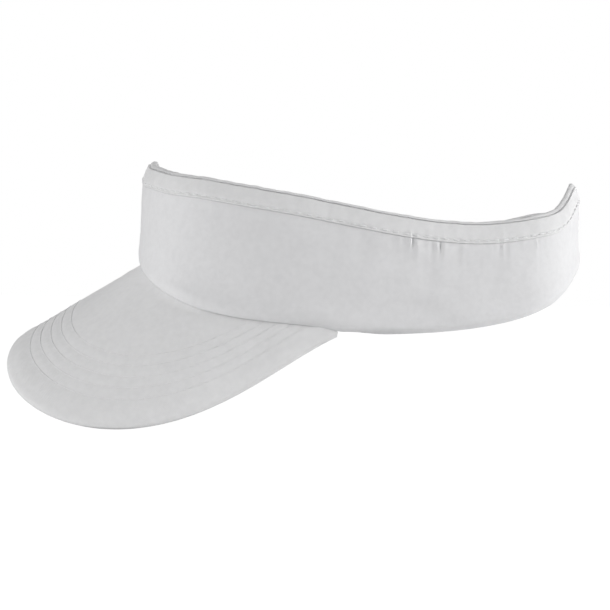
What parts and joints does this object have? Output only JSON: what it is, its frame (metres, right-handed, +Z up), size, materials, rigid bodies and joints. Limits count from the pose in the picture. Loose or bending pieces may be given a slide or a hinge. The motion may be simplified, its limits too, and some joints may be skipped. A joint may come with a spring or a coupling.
{
  "type": "sun visor",
  "caption": "White cotton sun visor: a padded head band with a bound top edge, a curved topstitched bill in front, and a hook-and-loop size closure at the back.",
  "frame": {"origin": "middle of the head opening, at the mean height of the head band's lower edge along the sides", "axes": "+Z up, -Y to the front where the bill is, +X to the wearer's left"},
  "size_m": [0.1534, 0.2362, 0.1029],
  "materials": {
    "outer_cloth": "matt white cotton twill",
    "lining_cloth": "matt white brushed cotton lining",
    "binding_cloth": "matt white folded cotton tape",
    "thread": "white polyester sewing thread, slight sheen",
    "interlining": "stiffened woven buckram",
    "stiffener_plastic": "flexible polyethylene sheet",
    "label_cloth": "smooth white woven tape, blank",
    "hook_tape": "white nylon hook tape",
    "loop_tape": "white nylon loop tape"
  },
  "bodies": {
    "front_band": {"band_outer_front": "outer_cloth", "sweatband_front": "lining_cloth", "top_binding_front": "binding_cloth", "binding_stitching_front": "thread", "band_interlining": "interlining", "bill_top_fabric": "outer_cloth", "bill_under_fabric": "outer_cloth", "bill_stiffener": "stiffener_plastic", "bill_topstitching": "thread", "sweatband_stitching": "thread", "care_label": "label_cloth"},
    "left_arm": {"band_outer_left": "outer_cloth", "sweatband_left": "lining_cloth", "top_binding_left": "binding_cloth", "binding_stitching_left": "thread"},
    "right_arm": {"band_outer_right": "outer_cloth", "sweatband_right": "lining_cloth", "top_binding_right": "binding_cloth", "binding_stitching_right": "thread", "loop_pad": "loop_tape", "loop_pad_stitching": "thread"},
    "closure_tab": {"closure_tab": "binding_cloth", "hook_pad": "hook_tape", "tab_stitching": "thread"}
  },
  "joints": [
    {"name": "left_arm_flex", "type": "hinge", "parent": "front_band", "child": "left_arm", "pos_m": [0.0736, 0.01065, 0], "axis": [0, 0, -1], "range_deg": [-3, 12], "stiffness_Nm_per_rad": 0.2},
    {"name": "right_arm_flex", "type": "hinge", "parent": "front_band", "child": "right_arm", "pos_m": [-0.0736, 0.01065, 0], "axis": [0, 0, 1], "range_deg": [-3, 12], "stiffness_Nm_per_rad": 0.2},
    {"name": "tab_peel", "type": "hinge", "parent": "left_arm", "child": "closure_tab", "pos_m": [0, 0.0932, 0.0334], "axis": [0, 0, -1], "range_deg": [0, 110], "stiffness_Nm_per_rad": 0.02}
  ],
  "couplings": [
    {"joint": "right_arm_flex", "follows": "left_arm_flex", "ratio": 1}
  ]
}
